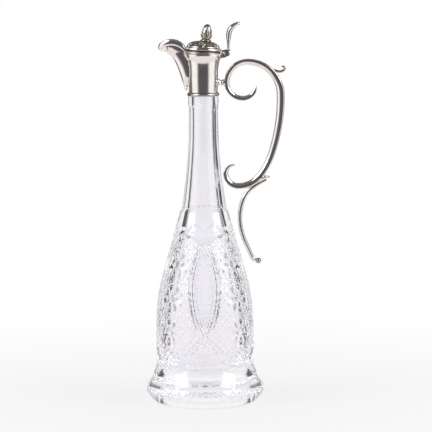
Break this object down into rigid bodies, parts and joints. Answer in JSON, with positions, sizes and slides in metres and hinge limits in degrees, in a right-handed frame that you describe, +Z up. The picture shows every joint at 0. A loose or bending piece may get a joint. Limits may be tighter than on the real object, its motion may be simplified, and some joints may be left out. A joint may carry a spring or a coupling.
{
  "type": "claret jug",
  "caption": "Tall cut-glass claret jug with a silver collar, open rolled-lip spout, hinged domed lid with bud finial and thumb lever, and a free-hanging silver scroll handle.",
  "frame": {"origin": "centre of the flat base, on the table", "axes": "+Z up along the bottle's axis, spout to -X, handle to +X, Y across"},
  "size_m": [0.1413, 0.118, 0.3809],
  "materials": {
    "clear_glass": "clear cut and polished crystal",
    "silver": "bright polished silver with soft wear",
    "silver_inner": "duller silver of the pin, stud and nut",
    "plaster": "off-white setting plaster, hidden in the collar"
  },
  "bodies": {
    "root": {"glass_body": "clear_glass", "plaster_bed": "plaster", "neck_collar": "silver", "collar_base_ring": "silver", "collar_rim_moulding": "silver", "pouring_spout": "silver", "spout_lip": "silver", "spout_drop": "silver", "hinge_leaf": "silver", "hinge_knuckle_near": "silver", "hinge_knuckle_far": "silver", "hinge_pin": "silver_inner", "handle_main_scroll": "silver", "handle_socket": "silver", "handle_spur": "silver", "handle_lower_scroll": "silver", "handle_leaf": "silver", "handle_end_ball": "silver"},
    "lid": {"hinge_knuckle_lid": "silver", "lid_dome": "silver", "lid_bezel": "silver", "lid_strap": "silver", "thumb_lever": "silver", "finial_calyx": "silver", "finial_bud": "silver", "finial_stud": "silver_inner", "finial_nut": "silver_inner"}
  },
  "joints": [
    {"name": "lid_hinge", "type": "hinge", "parent": "root", "child": "lid", "pos_m": [0.02401, 0, 0.3494], "axis": [0, 1, 0], "range_deg": [0, 70]}
  ]
}
